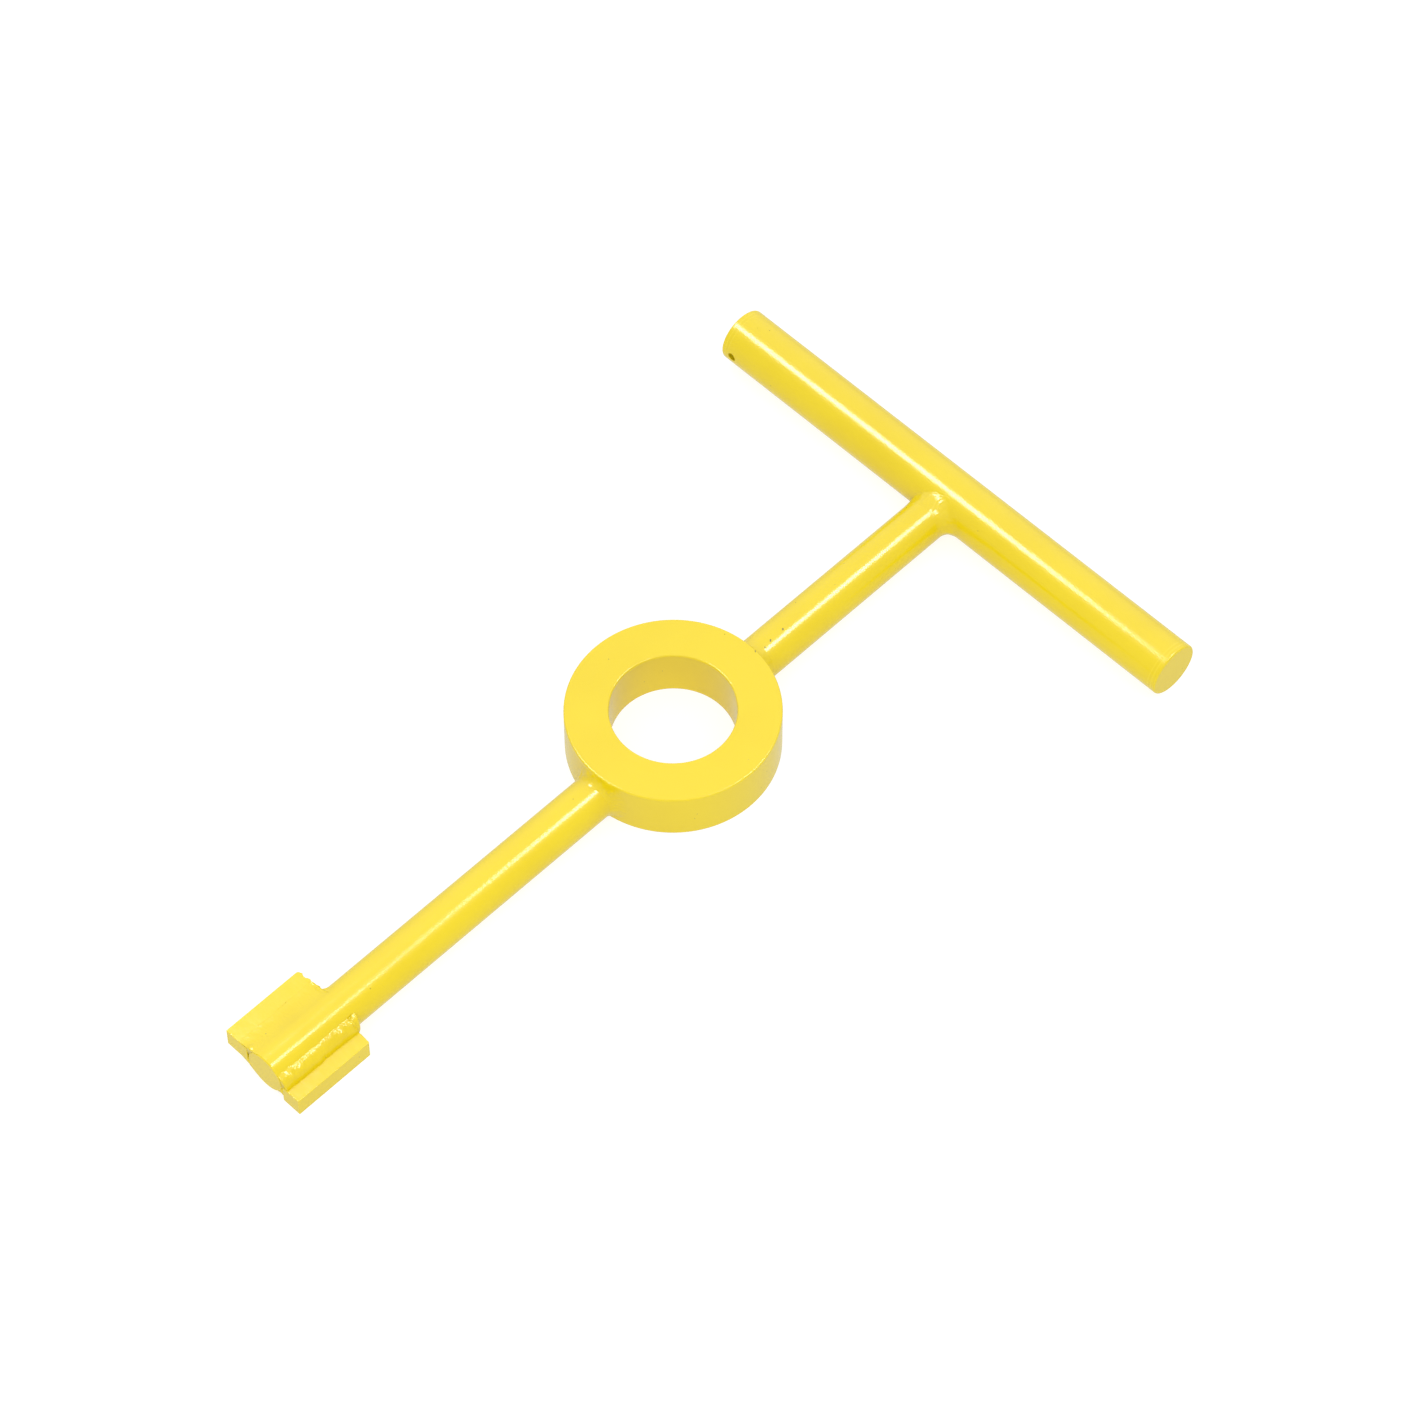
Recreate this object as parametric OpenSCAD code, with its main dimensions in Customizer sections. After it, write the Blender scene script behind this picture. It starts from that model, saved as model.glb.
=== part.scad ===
// Fire hydrant wrench: a T-handle bar wrench welded up from bar, tube and plate.
// Millimetres. The origin is the centre of the ring at mid thickness. +Z runs up
// along the ring bore, +Y runs up the shank towards the T-handle and +X runs along
// the handle. The parts were laid on a flat table and welded, so every part that
// lies on the table has its underside at the ring's underside.

/* [Ring] */

// Outside diameter of the ring
ring_outer_diameter = 92; // [80:1:120]

// Bore of the ring, the eye that slips over a square or round spindle
ring_bore_diameter = 54; // [36:1:64]

// Height of the ring along its bore
ring_thickness = 25; // [22:0.5:36]

// Rounding on the four edges of the ring
ring_edge_radius = 0.6; // [0.2:0.1:1.5]

/* [Shank] */

// Diameter of the round bar used above and below the ring
shank_diameter = 20; // [16:0.5:22]

// Sideways miss of the bar's axis from the ring's centre
shank_offset = 0.5; // [-2:0.1:2]

// Distance from the ring's centre to the end of the lower bar
tip_distance = 234.5; // [150:0.5:320]

// Chamfer on the free end of the lower bar
tip_chamfer = 0.5; // [0.2:0.1:1.5]

/* [Handle] */

// Outside diameter of the handle tube
handle_diameter = 25; // [22:0.5:32]

// Wall of the handle tube
handle_wall = 2.5; // [1.5:0.1:4]

// Length of the handle over both end caps
handle_length = 257; // [180:1:360]

// Distance from the ring's centre to the handle's axis
handle_distance = 169; // [120:0.5:240]

// Sideways miss of the handle's middle from the ring's centre
handle_shift = 2.5; // [-10:0.5:10]

// Thickness of each end cap
cap_thickness = 3; // [2:0.5:5]

// Rounding on the outer rim of each end cap
cap_edge_radius = 0.9; // [0.3:0.1:1.2]

// Depth of the V groove that the cap seam fills
cap_seam_depth = 1; // [0.6:0.1:1.4]

// Diameter of the vent hole through the tube wall
vent_hole_diameter = 4.5; // [3:0.1:6]

// Distance from the inside face of the cap to the middle of the vent hole
vent_hole_setback = 3.2; // [3.2:0.1:20]

/* [Wings] */

// Length of both key wings along the bar
wing_length = 40; // [25:1:60]

// Thickness of the flat bar the wings are cut from
wing_thickness = 10; // [8:0.5:12]

// Reach of the left wing from the bar's axis to its outer face
left_wing_reach = 22.5; // [20:0.5:36]

// Reach of the right wing from the bar's axis to its outer face
right_wing_reach = 20; // [19:0.5:36]

// Height of the left wing's middle over the bar's axis
left_wing_rise = 1.2; // [-1:0.1:2.4]

// Height of the right wing's underside over the welding table
right_wing_lift = 0; // [0:0.1:2]

// Small rounding on the outer edges of the wings
wing_edge_radius = 0.5; // [0.2:0.1:1.2]

// Gap left between each wing and the bar and filled by the weld
root_gap = 0.4; // [0.2:0.1:0.8]

/* [Welds] */

// Leg of the lower ring weld on the ring's wall
lower_ring_leg = 4.4; // [3:0.1:4.8]

// Length of the lower ring weld along the bar
lower_ring_run = 5; // [3:0.1:9]

// Leg of the upper ring weld on the ring's wall
upper_ring_leg = 3.5; // [2.5:0.1:4.8]

// Length of the upper ring weld along the bar
upper_ring_run = 6.4; // [3:0.1:9]

// Height over the table at which the welds round the bar stop
weld_lift = 1; // [0.5:0.1:2]

// Length of the handle weld along the bar
handle_weld_run = 6; // [4:0.1:9]

// Angle at which the handle weld flares out along the handle
handle_weld_flare = 28; // [15:1:35]

// Angle round the bar that the left upper wing weld climbs to
left_top_climb = 64; // [50:1:72]

// Leg of the left upper wing weld on the wing's face
left_top_leg = 4.6; // [2:0.1:7]

// Angle round the bar that the right upper wing weld climbs to
right_top_climb = 24; // [16:1:40]

// Leg of the right upper wing weld on the wing's face
right_top_leg = 3.4; // [2:0.1:6]

// Angle round the bar that the left lower wing weld drops to
left_low_drop = 54; // [45:1:70]

// Leg of the left lower wing weld on the wing's underside
left_low_leg = 3.6; // [2:0.1:7]

// How far the right lower weld stops short of the wing's underside
right_low_recess = 1.6; // [0.8:0.1:3]

// Leg of the heel welds on the rear face of each wing
heel_leg = 5; // [3:0.1:7]

// Length of the heel welds along the bar
heel_run = 4.5; // [3:0.1:9]

/* [Hidden] */

// Roundness of curves in the preview
$fn = 96;

// Overshoot used where one solid cuts another
over = 1;

ring_radius = ring_outer_diameter / 2;
bore_radius = ring_bore_diameter / 2;
shank_radius = shank_diameter / 2;
handle_radius = handle_diameter / 2;
tube_bore_radius = handle_radius - handle_wall;

// Level of the welding table, flush with the underside of the ring
table_z = -ring_thickness / 2;
ring_top_z = ring_thickness / 2;
shank_z = table_z + shank_radius;
handle_z = table_z + handle_radius;

handle_left_x = handle_shift - handle_length / 2;
handle_right_x = handle_shift + handle_length / 2;
tube_left_x = handle_left_x + cap_thickness;
tube_right_x = handle_right_x - cap_thickness;
vent_x = tube_left_x + vent_hole_setback;

tip_y = -tip_distance;
wing_rear_y = tip_y + wing_length;
left_wing_top_z = shank_z + left_wing_rise + wing_thickness / 2;
left_wing_bottom_z = left_wing_top_z - wing_thickness;
right_wing_bottom_z = table_z + right_wing_lift;
right_wing_top_z = right_wing_bottom_z + wing_thickness;
left_root_x = shank_offset - shank_radius - root_gap;
right_root_x = shank_offset + shank_radius + root_gap;
left_edge_x = shank_offset - left_wing_reach;
right_edge_x = shank_offset + right_wing_reach;

// Radius by which a weld stands proud of the bar at its toe
toe_step = 0.25;

// Least height that a wing weld takes on the bar past the wing's face
least_climb = 0.8;

// Angle round the bar that lies a given height from its axis, short of the bar's crown
function angle_at(height) = asin(min(0.97, (height + least_climb) / shank_radius));

paint = [0.98, 0.87, 0.20];
weld_paint = [0.95, 0.83, 0.16];

// A rectangle with rounded corners, from its lower left corner
module rounded_rectangle(width, height, radius) {
    translate([radius, 0]) {
        square([width - 2 * radius, height]);
    }
    translate([0, radius]) {
        square([width, height - 2 * radius]);
    }
    for (x = [radius, width - radius]) {
        for (y = [radius, height - radius]) {
            translate([x, y]) {
                circle(r = radius);
            }
        }
    }
}

// A round bar along Y on the shank's axis, from y_from to y_to
module bar_along_y(y_from, y_to, radius) {
    translate([shank_offset, y_from, shank_z]) {
        rotate([-90, 0, 0]) {
            cylinder(h = y_to - y_from, r = radius);
        }
    }
}

// A cone on the shank's axis, from y_from with r_from to y_to with r_to
module cone_along_y(y_from, r_from, y_to, r_to) {
    translate([shank_offset, y_from, shank_z]) {
        rotate([-90, 0, 0]) {
            cylinder(h = y_to - y_from, r1 = r_from, r2 = r_to);
        }
    }
}

// A round bar along X on the handle's axis, from x_from to x_to
module bar_along_x(x_from, x_to, radius) {
    translate([x_from, handle_distance, handle_z]) {
        rotate([0, 90, 0]) {
            cylinder(h = x_to - x_from, r = radius);
        }
    }
}

// The plain outside of the ring, used to cut the bars and welds to its wall
module ring_envelope() {
    translate([0, 0, table_z - over]) {
        cylinder(h = ring_thickness + 2 * over, r = ring_radius);
    }
}

// The space a torch reaches, from just over the table to the ring's top face
module ring_slab(y_from, y_to) {
    translate([-ring_radius, y_from, table_z + weld_lift]) {
        cube([2 * ring_radius, y_to - y_from, ring_thickness - weld_lift]);
    }
}

// A section drawn in X and Z, pulled along the full length of the wings
module along_wing() {
    translate([0, wing_rear_y, 0]) {
        rotate([90, 0, 0]) {
            linear_extrude(height = wing_length) {
                children();
            }
        }
    }
}

// The bar's round section, drawn in X and Z
module shank_section() {
    translate([shank_offset, shank_z]) {
        circle(r = shank_radius);
    }
}

// The ring: a thick turned eye with its edges broken
module ring() {
    color(paint) {
        rotate_extrude() {
            translate([bore_radius, table_z]) {
                rounded_rectangle(ring_radius - bore_radius, ring_thickness, ring_edge_radius);
            }
        }
    }
}

// The upper bar, cut to the ring's wall at one end and coped to the handle at the other
module upper_shank() {
    color(paint) {
        difference() {
            bar_along_y(ring_radius - 2 * over - shank_radius / 4, handle_distance - 4, shank_radius);
            ring_envelope();
            bar_along_x(shank_offset - shank_diameter, shank_offset + shank_diameter, handle_radius);
        }
    }
}

// The lower bar, cut to the ring's wall at one end and chamfered at the tip
module lower_shank() {
    color(paint) {
        difference() {
            union() {
                bar_along_y(tip_y + tip_chamfer, -(ring_radius - 2 * over - shank_radius / 4), shank_radius);
                cone_along_y(tip_y, shank_radius - tip_chamfer, tip_y + tip_chamfer, shank_radius);
            }
            ring_envelope();
        }
    }
}

// The handle tube, with the vent hole through its lower side near the left end
module handle_tube() {
    color(paint) {
        difference() {
            bar_along_x(tube_left_x, tube_right_x, handle_radius);
            bar_along_x(tube_left_x - over, tube_right_x + over, tube_bore_radius);
            seam_groove(tube_left_x);
            seam_groove(tube_right_x);
            translate([vent_x, handle_distance, handle_z]) {
                rotate([90, 0, 0]) {
                    cylinder(h = handle_radius + over, r = vent_hole_diameter / 2);
                }
            }
        }
    }
}

// The V ring cut from tube and cap alike, centred on the face where they meet
module seam_groove(x_face) {
    translate([x_face, handle_distance, handle_z]) {
        rotate([0, 90, 0]) {
            rotate_extrude() {
                polygon([
                    [handle_radius - cap_seam_depth, 0],
                    [handle_radius + over, cap_seam_depth + over],
                    [handle_radius + over, -cap_seam_depth - over]
                ]);
            }
        }
    }
}

// The V ring of weld metal dressed flush with the tube
module cap_seam(x_face) {
    translate([x_face, handle_distance, handle_z]) {
        rotate([0, 90, 0]) {
            rotate_extrude() {
                polygon([
                    [handle_radius - cap_seam_depth, 0],
                    [handle_radius, cap_seam_depth],
                    [handle_radius, -cap_seam_depth]
                ]);
            }
        }
    }
}

// A cap: a disc with a rounded outer rim, drawn with its outer face at height 0
module cap_disc() {
    rotate_extrude() {
        difference() {
            union() {
                square([handle_radius - cap_edge_radius, cap_thickness]);
                translate([0, cap_edge_radius]) {
                    square([handle_radius, cap_thickness - cap_edge_radius]);
                }
                translate([handle_radius - cap_edge_radius, cap_edge_radius]) {
                    circle(r = cap_edge_radius);
                }
            }
            translate([handle_radius - cap_seam_depth, cap_thickness]) {
                polygon([
                    [0, 0],
                    [cap_seam_depth + over, -cap_seam_depth - over],
                    [cap_seam_depth + over, over],
                    [0, over]
                ]);
            }
        }
    }
}

// The left end cap, closing the end beside the vent hole
module handle_cap_left() {
    color(paint) {
        translate([handle_left_x, handle_distance, handle_z]) {
            rotate([0, 90, 0]) {
                cap_disc();
            }
        }
    }
}

// The right end cap
module handle_cap_right() {
    color(paint) {
        translate([handle_right_x, handle_distance, handle_z]) {
            rotate([0, -90, 0]) {
                cap_disc();
            }
        }
    }
}

// The left key wing: a plain block of flat bar standing beside the lower bar
module left_wing() {
    color(paint) {
        along_wing() {
            translate([left_edge_x, left_wing_bottom_z]) {
                rounded_left_edge(left_root_x - left_edge_x, wing_thickness, wing_edge_radius);
            }
        }
    }
}

// The right key wing, lying on the table
module right_wing() {
    color(paint) {
        along_wing() {
            translate([right_edge_x, right_wing_bottom_z]) {
                mirror([1, 0]) {
                    rounded_left_edge(right_edge_x - right_root_x, wing_thickness, wing_edge_radius);
                }
            }
        }
    }
}

// A rectangle whose two left corners are rounded
module rounded_left_edge(width, height, radius) {
    translate([radius, 0]) {
        square([width - radius, height]);
    }
    translate([0, radius]) {
        square([width, height - 2 * radius]);
    }
    for (y = [radius, height - radius]) {
        translate([radius, y]) {
            circle(r = radius);
        }
    }
}

// The seam that closes the left cap
module cap_seam_left() {
    color(weld_paint) {
        cap_seam(tube_left_x);
    }
}

// The seam that closes the right cap
module cap_seam_right() {
    color(weld_paint) {
        cap_seam(tube_right_x);
    }
}

// The weld between upper bar and handle: two flares along the handle and a collar
module handle_weld() {
    toe_y = handle_distance - handle_radius - handle_weld_run;
    flare_radius = (shank_radius + toe_step / 2) * cos(handle_weld_flare);
    crown_y = handle_distance - handle_radius / 2;
    color(weld_paint) {
        difference() {
            intersection() {
                union() {
                    for (turn = [-handle_weld_flare, handle_weld_flare]) {
                        translate([shank_offset, toe_y, shank_z]) {
                            rotate([0, 0, turn]) {
                                rotate([-90, 0, 0]) {
                                    translate([0, 0, -shank_diameter]) {
                                        cylinder(h = 3 * shank_diameter, r = flare_radius);
                                    }
                                }
                            }
                        }
                    }
                    cone_along_y(toe_y, shank_radius + toe_step, crown_y, shank_radius + 4 * toe_step);
                }
                translate([shank_offset - 2 * shank_diameter, toe_y, table_z + weld_lift]) {
                    cube([4 * shank_diameter, handle_distance - 4 - toe_y, handle_diameter]);
                }
            }
            bar_along_y(toe_y - over, handle_distance, shank_radius);
            bar_along_x(shank_offset - 3 * shank_diameter, shank_offset + 3 * shank_diameter, handle_radius);
        }
    }
}

// The weld between ring and upper bar
module upper_ring_weld() {
    toe_y = ring_radius + upper_ring_run;
    slope = (upper_ring_leg - toe_step) / upper_ring_run;
    base_y = ring_radius - shank_radius / 2;
    base_radius = shank_radius + toe_step + slope * (toe_y - base_y);
    color(weld_paint) {
        difference() {
            intersection() {
                cone_along_y(base_y, base_radius, toe_y, shank_radius + toe_step);
                ring_slab(base_y, toe_y);
            }
            bar_along_y(base_y - over, toe_y + over, shank_radius);
            ring_envelope();
        }
    }
}

// The weld between ring and lower bar, piled up to the ring's top edge
module lower_ring_weld() {
    toe_y = -ring_radius - lower_ring_run;
    slope = (lower_ring_leg - toe_step) / lower_ring_run;
    base_y = -ring_radius + shank_radius / 2;
    base_radius = shank_radius + toe_step + slope * (base_y - toe_y);
    color(weld_paint) {
        difference() {
            intersection() {
                cone_along_y(toe_y, shank_radius + toe_step, base_y, base_radius);
                ring_slab(toe_y, base_y);
            }
            bar_along_y(toe_y - over, base_y + over, shank_radius);
            ring_envelope();
        }
    }
}

// The wide weld over the left wing, blended up onto the bar
module left_wing_top_weld() {
    climb = max(left_top_climb, angle_at(left_wing_top_z - shank_z));
    climb_x = shank_offset - shank_radius * cos(climb);
    climb_z = shank_z + shank_radius * sin(climb);
    color(weld_paint) {
        along_wing() {
            difference() {
                polygon([
                    [left_root_x, shank_z],
                    [left_root_x, left_wing_top_z],
                    [left_root_x - left_top_leg, left_wing_top_z],
                    [climb_x, climb_z],
                    [shank_offset, shank_z]
                ]);
                shank_section();
            }
        }
    }
}

// The weld under the left wing
module left_wing_low_weld() {
    drop = max(left_low_drop, angle_at(shank_z - left_wing_bottom_z));
    drop_x = shank_offset - shank_radius * cos(drop);
    drop_z = shank_z - shank_radius * sin(drop);
    color(weld_paint) {
        along_wing() {
            difference() {
                polygon([
                    [left_root_x, shank_z],
                    [left_root_x, left_wing_bottom_z],
                    [left_root_x - left_low_leg, left_wing_bottom_z],
                    [drop_x, drop_z],
                    [shank_offset, shank_z]
                ]);
                shank_section();
            }
        }
    }
}

// The narrow bead along the top of the right wing
module right_wing_top_weld() {
    climb = max(right_top_climb, angle_at(right_wing_top_z - shank_z));
    climb_x = shank_offset + shank_radius * cos(climb);
    climb_z = shank_z + shank_radius * sin(climb);
    color(weld_paint) {
        along_wing() {
            difference() {
                polygon([
                    [right_root_x, shank_z],
                    [right_root_x, right_wing_top_z],
                    [right_root_x + right_top_leg, right_wing_top_z],
                    [climb_x, climb_z],
                    [shank_offset, shank_z]
                ]);
                shank_section();
            }
        }
    }
}

// The weld that fills the V between the right wing and the underside of the bar
module right_wing_low_weld() {
    fill_z = right_wing_bottom_z + right_low_recess;
    color(weld_paint) {
        along_wing() {
            difference() {
                polygon([
                    [right_root_x, shank_z],
                    [right_root_x, fill_z],
                    [shank_offset, fill_z],
                    [shank_offset, shank_z]
                ]);
                shank_section();
            }
        }
    }
}

// A heel weld: a wedge in the corner behind a wing, cut to the bar
module heel_weld(side, root_x, bottom_z) {
    color(weld_paint) {
        difference() {
            translate([0, 0, bottom_z]) {
                linear_extrude(height = wing_thickness) {
                    polygon([
                        [root_x + side * heel_leg, wing_rear_y],
                        [root_x - side * root_gap, wing_rear_y + heel_run],
                        [shank_offset, wing_rear_y + heel_run],
                        [shank_offset, wing_rear_y]
                    ]);
                }
            }
            bar_along_y(wing_rear_y - over, wing_rear_y + heel_run + over, shank_radius);
        }
    }
}

// The heel weld behind the left wing
module left_heel_weld() {
    heel_weld(-1, left_root_x, left_wing_bottom_z);
}

// The heel weld behind the right wing
module right_heel_weld() {
    heel_weld(1, right_root_x, right_wing_bottom_z);
}

ring();
upper_shank();
lower_shank();
handle_tube();
handle_cap_left();
handle_cap_right();
left_wing();
right_wing();
cap_seam_left();
cap_seam_right();
handle_weld();
upper_ring_weld();
lower_ring_weld();
left_wing_top_weld();
left_wing_low_weld();
right_wing_top_weld();
right_wing_low_weld();
left_heel_weld();
right_heel_weld();
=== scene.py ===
# %% [markdown]
# # A fire hydrant wrench, welded up and powder coated
#
# The wrench is bar, tube and plate, welded on a flat bench and then sprayed with one thick yellow
# powder coat. The shapes that fit other things (the bars, the handle and its caps) come ready from
# the design, as the frame. Blender adds what the welder and the coating shop leave behind: the
# beads, the torch-cut plate, the soft edges and the orange peel of the paint. Everything is in
# metres, in the design's own frame.

# %% Load the frame
import math

import bmesh
import bpy
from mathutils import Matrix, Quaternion, Vector, noise


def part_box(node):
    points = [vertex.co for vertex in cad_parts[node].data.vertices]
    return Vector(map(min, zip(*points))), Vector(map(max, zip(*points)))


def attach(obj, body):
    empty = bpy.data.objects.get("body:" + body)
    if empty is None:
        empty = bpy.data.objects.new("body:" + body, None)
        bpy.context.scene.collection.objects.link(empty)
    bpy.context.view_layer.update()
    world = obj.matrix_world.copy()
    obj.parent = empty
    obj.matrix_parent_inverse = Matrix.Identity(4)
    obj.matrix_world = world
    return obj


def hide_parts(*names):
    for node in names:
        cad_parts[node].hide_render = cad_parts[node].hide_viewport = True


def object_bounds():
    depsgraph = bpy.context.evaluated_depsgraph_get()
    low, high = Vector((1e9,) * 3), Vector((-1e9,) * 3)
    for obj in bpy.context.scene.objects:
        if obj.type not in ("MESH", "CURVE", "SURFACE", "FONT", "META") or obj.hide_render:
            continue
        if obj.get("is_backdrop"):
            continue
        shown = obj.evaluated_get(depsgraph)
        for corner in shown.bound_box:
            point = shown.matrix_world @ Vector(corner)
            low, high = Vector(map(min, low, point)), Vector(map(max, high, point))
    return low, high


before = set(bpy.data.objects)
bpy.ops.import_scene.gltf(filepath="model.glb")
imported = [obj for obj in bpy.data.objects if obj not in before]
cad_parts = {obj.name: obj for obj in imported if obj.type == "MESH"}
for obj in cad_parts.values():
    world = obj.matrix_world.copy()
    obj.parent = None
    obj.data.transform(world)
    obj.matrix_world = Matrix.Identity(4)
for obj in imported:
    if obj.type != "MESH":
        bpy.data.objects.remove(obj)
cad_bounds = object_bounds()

MM = 0.001
UP = Vector((0, 0, 1))
print("the design has", len(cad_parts), "pieces")

# %% [markdown]
# ## The driving sizes
#
# Nothing is typed in twice. The sizes of the bars, the ring and the wings are read back from the
# boxes of the frame's pieces, so the beads still fit if the design changes.

# %% Read the sizes


class Bar:
    """A round bar: its ends, the middle of its section and its radius, from a piece's box."""

    def __init__(self, node, across):
        self.low, self.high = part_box(node)
        self.across = (getattr(self.low, across) + getattr(self.high, across)) / 2
        self.up = (self.low.z + self.high.z) / 2
        self.radius = (self.high.z - self.low.z) / 2


shank = Bar("lower_shank", "x")
handle = Bar("handle_tube", "y")
ring_low, ring_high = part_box("ring")
ring_radius = ring_high.x
bore_radius = min(math.hypot(v.co.x, v.co.y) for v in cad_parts["ring"].data.vertices)
table_z = ring_low.z
tip_y = shank.low.y
print(f"ring {2 * ring_radius / MM:.0f} mm over a {2 * bore_radius / MM:.0f} mm bore,",
      f"bar {2 * shank.radius / MM:.0f} mm, handle {2 * handle.radius / MM:.0f} mm")

# %% [markdown]
# ## The camera
#
# The wrench lies flat and is seen from over its front right corner with a long lens, which keeps
# the ring nearly a true ellipse. The camera is set as a photographer would note it down: the
# direction it looks from, how far away it stands, and the point it looks at.

# %% Set up the camera
CAMERA_AZIMUTH = math.radians(44.807)
CAMERA_ELEVATION = math.radians(55.945)
CAMERA_ROLL = math.radians(-0.117)
CAMERA_DISTANCE = 2.335
CAMERA_TARGET = Vector((0.00547, 0.01645, 0.0))
CAMERA_LENS = 140.39

away = Vector((
    math.sin(CAMERA_AZIMUTH) * math.cos(CAMERA_ELEVATION),
    -math.cos(CAMERA_AZIMUTH) * math.cos(CAMERA_ELEVATION),
    math.sin(CAMERA_ELEVATION),
))
camera = bpy.data.objects.new("camera", bpy.data.cameras.new("camera"))
bpy.context.scene.collection.objects.link(camera)
camera.data.lens = CAMERA_LENS
camera.data.sensor_width = 36.0
camera.location = CAMERA_TARGET + CAMERA_DISTANCE * away
looking = (-away).to_track_quat("-Z", "Y")
looking.rotate(Quaternion(away, CAMERA_ROLL))
camera.rotation_euler = looking.to_euler()
bpy.context.scene.camera = camera
print("camera at", [round(c, 3) for c in camera.location])

# %% [markdown]
# ## Nodes and colours
#
# Two helpers serve every node tree below, both the materials and the geometry. The first adds any
# node with its settings and links: an input given as a node or as one of its outputs is linked, and
# anything else is set on the socket. The second turns a paint chart's hex value into linear light.

# %% Helpers for nodes and colours


def add(tree, kind, settings=None, inputs=None):
    """Adds a node. Inputs go by name, identifier or number, and a node given as one is its output."""
    node = tree.nodes.new(kind)
    for name, value in (settings or {}).items():
        setattr(node, name, value)
    by_identifier = {socket.identifier: socket for socket in node.inputs}
    for name, value in (inputs or {}).items():
        socket = by_identifier[name] if name in by_identifier else node.inputs[name]
        if isinstance(value, bpy.types.Node):
            value = next(output for output in value.outputs if output.enabled)
        if isinstance(value, bpy.types.NodeSocket):
            tree.links.new(value, socket)
        else:
            socket.default_value = value
    return node


def linear(hex_value):
    """A colour socket's value from an sRGB hex string such as "fde04a"."""
    channels = [int(hex_value[i:i + 2], 16) / 255 for i in (0, 2, 4)]
    return tuple(c / 12.92 if c <= 0.04045 else ((c + 0.055) / 1.055) ** 2.4 for c in channels) + (1,)


# %% [markdown]
# ## The studio
#
# A lit white table in a white room, brighter overhead. A round bar mirrors a soft box as a thin
# bright line, so three boxes are placed by where those lines belong: one for the handle, one for
# the two bars, and a small one for the welds of the head. They only shine in the gloss. The even
# light on the paint itself comes from the room and from one large fill at the camera's side, which
# is kept out of the gloss. The flat faces mirror the bright part of the ceiling, which gives them
# their milky tone.

# %% Hang the lamps
LAMP_HEIGHT = 1.0
FILL_RADIANCE = 1.4
FILL_PLACE = 1.8 * Vector((away.x, away.y, 0.62))
FILL_SIZE = (1.6, 1.6)
# Each box: its middle over the table, its size along X and along Y, and its radiance
BOXES = {
    "box_over_handle": ((-0.50, -0.14), (0.38, 0.30), 15.0),
    "box_over_bars": ((0.295, 0.50), (0.28, 0.42), 14.5),
    "box_over_head": ((0.44, 0.09), (0.20, 0.12), 16.0),
}


def soft_box(name, place, size, radiance):
    """An area lamp facing down, with its power worked out from its radiance and size."""
    lamp = bpy.data.objects.new(name, bpy.data.lights.new(name, "AREA"))
    bpy.context.scene.collection.objects.link(lamp)
    lamp.data.shape = "RECTANGLE"
    lamp.data.size, lamp.data.size_y = size
    lamp.data.energy = radiance * math.pi * size[0] * size[1]
    lamp.location = place
    print(name, f"{lamp.data.energy:.2f} W")
    return lamp


for name, ((x, y), size, radiance) in BOXES.items():
    soft_box(name, (x, y, LAMP_HEIGHT), size, radiance).visible_diffuse = False

fill = soft_box("fill_at_camera", FILL_PLACE, FILL_SIZE, FILL_RADIANCE)
fill.rotation_euler = fill.location.to_track_quat("Z", "Y").to_euler()
fill.visible_glossy = False

# %% Light the room and the table
ROOM_STRENGTH = 0.70
CEILING_STRENGTH = 1.42
# The ceiling brightens between these two cosines from the direction that the flat faces mirror
CEILING_RIM = 0.3
CEILING_CORE = 0.92
TABLE_TONE = "878785"
TABLE_GLOW = 0.80
TABLE_HALF_SIDE = 3.0

room = bpy.data.worlds.new("white_room")
room.use_nodes = True
sky = room.node_tree
mirrored = Vector((-away.x, -away.y, away.z))
facing = add(sky, "ShaderNodeVectorMath", {"operation": "DOT_PRODUCT"},
             {0: add(sky, "ShaderNodeTexCoord").outputs["Generated"], 1: mirrored})
glow = add(sky, "ShaderNodeMapRange", {"interpolation_type": "SMOOTHSTEP"}, {
    "Value": facing.outputs["Value"], "From Min": CEILING_RIM, "From Max": CEILING_CORE,
    "To Min": ROOM_STRENGTH, "To Max": CEILING_STRENGTH})
sky.links.new(glow.outputs["Result"], sky.nodes["Background"].inputs["Strength"])
sky.nodes["Background"].inputs["Color"].default_value = (1, 1, 1, 1)
bpy.context.scene.world = room
bpy.context.scene.view_settings.view_transform = "Standard"

table_top = bpy.data.materials.new("lit_table_top")
table_top.use_nodes = True
shader = table_top.node_tree.nodes["Principled BSDF"]
shader.inputs["Base Color"].default_value = linear(TABLE_TONE)
shader.inputs["Roughness"].default_value = 0.9
shader.inputs["Emission Color"].default_value = (1, 1, 1, 1)
shader.inputs["Emission Strength"].default_value = TABLE_GLOW

sheet = bmesh.new()
bmesh.ops.create_grid(sheet, x_segments=1, y_segments=1, size=TABLE_HALF_SIDE)
bmesh.ops.translate(sheet, verts=sheet.verts, vec=(0, 0, table_z))
table_mesh = bpy.data.meshes.new("table")
sheet.to_mesh(table_mesh)
sheet.free()
table_mesh.materials.append(table_top)
table = bpy.data.objects.new("table", table_mesh)
bpy.context.scene.collection.objects.link(table)
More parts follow.
